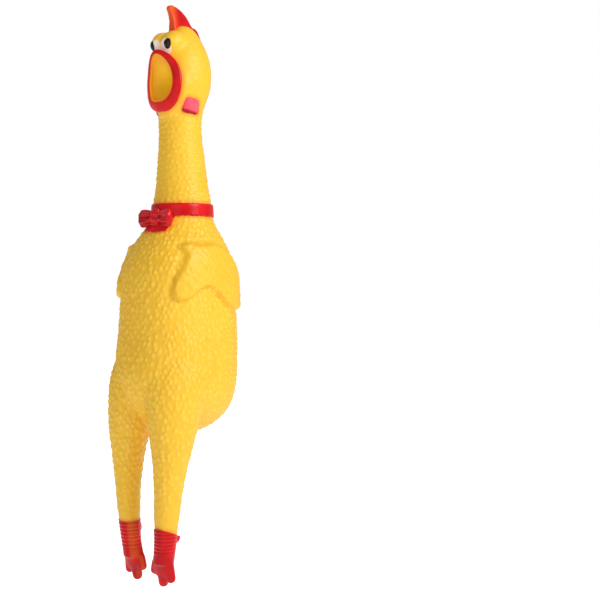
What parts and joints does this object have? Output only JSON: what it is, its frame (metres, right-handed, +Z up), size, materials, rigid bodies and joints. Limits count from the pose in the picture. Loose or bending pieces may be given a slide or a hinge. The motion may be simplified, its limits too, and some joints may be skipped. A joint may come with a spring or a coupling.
{
  "type": "rubber chicken",
  "caption": "Hollow soft-vinyl toy chicken with a gaping mouth, comb, bow collar, folded wings and dangling legs; squeezing the flanks drives air through a squeaker in its throat.",
  "frame": {"origin": "middle of the body, where a hand grips it", "axes": "+Z up toward the head with the legs hanging down, -Y the way the mouth and breast face, +X the chicken's left side"},
  "size_m": [0.0774, 0.0832, 0.4007],
  "materials": {
    "yellow_vinyl": "satin soft vinyl, moulded in yellow",
    "red_paint": "glossy sprayed paint on vinyl",
    "pink_paint": "satin sprayed paint on vinyl",
    "mouth_orange": "flat orange paint on vinyl",
    "cream_paint": "satin sprayed paint on vinyl",
    "black_paint": "glossy brushed paint on vinyl",
    "squeaker_plastic": "moulded plastic",
    "reed_film": "thin translucent film"
  },
  "bodies": {
    "torso": {"torso_skin": "yellow_vinyl", "left_wing": "yellow_vinyl", "right_wing": "yellow_vinyl", "collar_band": "red_paint", "bow_knot": "red_paint", "bow_left_loop": "red_paint", "bow_right_loop": "red_paint", "neck_flex_low": "yellow_vinyl", "left_hip_flex": "yellow_vinyl", "right_hip_flex": "yellow_vinyl"},
    "neck_low": {"neck_low_skin": "yellow_vinyl", "neck_flex_mid": "yellow_vinyl"},
    "neck_high": {"neck_high_skin": "yellow_vinyl", "neck_flex_top": "yellow_vinyl"},
    "head": {"head_skin": "yellow_vinyl", "comb": "red_paint", "mouth_lips": "red_paint", "mouth_lining": "mouth_orange", "left_eye": "cream_paint", "right_eye": "cream_paint", "left_pupil": "black_paint", "right_pupil": "black_paint", "left_wattle": "pink_paint", "right_wattle": "pink_paint", "squeaker_cup": "squeaker_plastic", "squeaker_cap": "squeaker_plastic", "squeaker_shallot": "squeaker_plastic", "squeaker_wedge": "squeaker_plastic"},
    "reed": {"squeaker_reed": "reed_film"},
    "left_side": {"left_flank": "yellow_vinyl"},
    "right_side": {"right_flank": "yellow_vinyl"},
    "left_thigh": {"left_thigh_skin": "yellow_vinyl", "left_shank_flex": "yellow_vinyl"},
    "left_shank": {"left_shank_skin": "yellow_vinyl", "left_ankle_skin": "red_paint", "left_toes_flex": "red_paint"},
    "left_foot": {"left_toes_skin": "red_paint"},
    "right_thigh": {"right_thigh_skin": "yellow_vinyl", "right_shank_flex": "yellow_vinyl"},
    "right_shank": {"right_shank_skin": "yellow_vinyl", "right_ankle_skin": "red_paint", "right_toes_flex": "red_paint"},
    "right_foot": {"right_toes_skin": "red_paint"}
  },
  "joints": [
    {"name": "neck_nod", "type": "hinge", "parent": "torso", "child": "neck_low", "pos_m": [0, 0, 0.0935], "axis": [1, 0, 0], "range_deg": [-25, 30], "stiffness_Nm_per_rad": 0.6, "deforming": ["neck_flex_low"]},
    {"name": "neck_sway", "type": "hinge", "parent": "neck_low", "child": "neck_high", "pos_m": [0, 0, 0.122], "axis": [0, 1, 0], "range_deg": [-30, 30], "stiffness_Nm_per_rad": 0.4, "deforming": ["neck_flex_mid"]},
    {"name": "head_nod", "type": "hinge", "parent": "neck_high", "child": "head", "pos_m": [0, 0, 0.1413], "axis": [1, 0, 0], "range_deg": [-25, 30], "stiffness_Nm_per_rad": 0.3, "deforming": ["neck_flex_top"]},
    {"name": "reed_flutter", "type": "hinge", "parent": "head", "child": "reed", "pos_m": [0, 0.0056, 0.172], "axis": [1, 0, 0], "range_deg": [-3, 3], "stiffness_Nm_per_rad": 0.0001},
    {"name": "left_press", "type": "slide", "parent": "torso", "child": "left_side", "axis": [-1, 0, 0], "range_m": [0, 0.01], "stiffness_N_per_m": 120},
    {"name": "right_press", "type": "slide", "parent": "torso", "child": "right_side", "axis": [1, 0, 0], "range_m": [0, 0.01], "stiffness_N_per_m": 120},
    {"name": "left_hip_swing", "type": "hinge", "parent": "torso", "child": "left_thigh", "pos_m": [0.021, -0.03185, -0.0795], "axis": [1, 0, 0], "range_deg": [-40, 40], "stiffness_Nm_per_rad": 0.25, "deforming": ["left_hip_flex"]},
    {"name": "left_shank_sway", "type": "hinge", "parent": "left_thigh", "child": "left_shank", "pos_m": [0.01979, -0.03393, -0.1088], "axis": [0, 1, 0], "range_deg": [-30, 1], "stiffness_Nm_per_rad": 0.15, "deforming": ["left_shank_flex"]},
    {"name": "left_toes_flap", "type": "hinge", "parent": "left_shank", "child": "left_foot", "pos_m": [0.01626, -0.03402, -0.1489], "axis": [1, 0, 0], "range_deg": [-30, 45], "stiffness_Nm_per_rad": 0.02, "deforming": ["left_toes_flex"]},
    {"name": "right_hip_swing", "type": "hinge", "parent": "torso", "child": "right_thigh", "pos_m": [-0.021, -0.03185, -0.0795], "axis": [1, 0, 0], "range_deg": [-40, 40], "stiffness_Nm_per_rad": 0.25, "deforming": ["right_hip_flex"]},
    {"name": "right_shank_sway", "type": "hinge", "parent": "right_thigh", "child": "right_shank", "pos_m": [-0.01979, -0.03393, -0.1088], "axis": [0, -1, 0], "range_deg": [-30, 1], "stiffness_Nm_per_rad": 0.15, "deforming": ["right_shank_flex"]},
    {"name": "right_toes_flap", "type": "hinge", "parent": "right_shank", "child": "right_foot", "pos_m": [-0.01626, -0.03402, -0.1489], "axis": [1, 0, 0], "range_deg": [-30, 45], "stiffness_Nm_per_rad": 0.02, "deforming": ["right_toes_flex"]}
  ],
  "couplings": [
    {"joint": "right_press", "follows": "left_press", "ratio": 1}
  ]
}
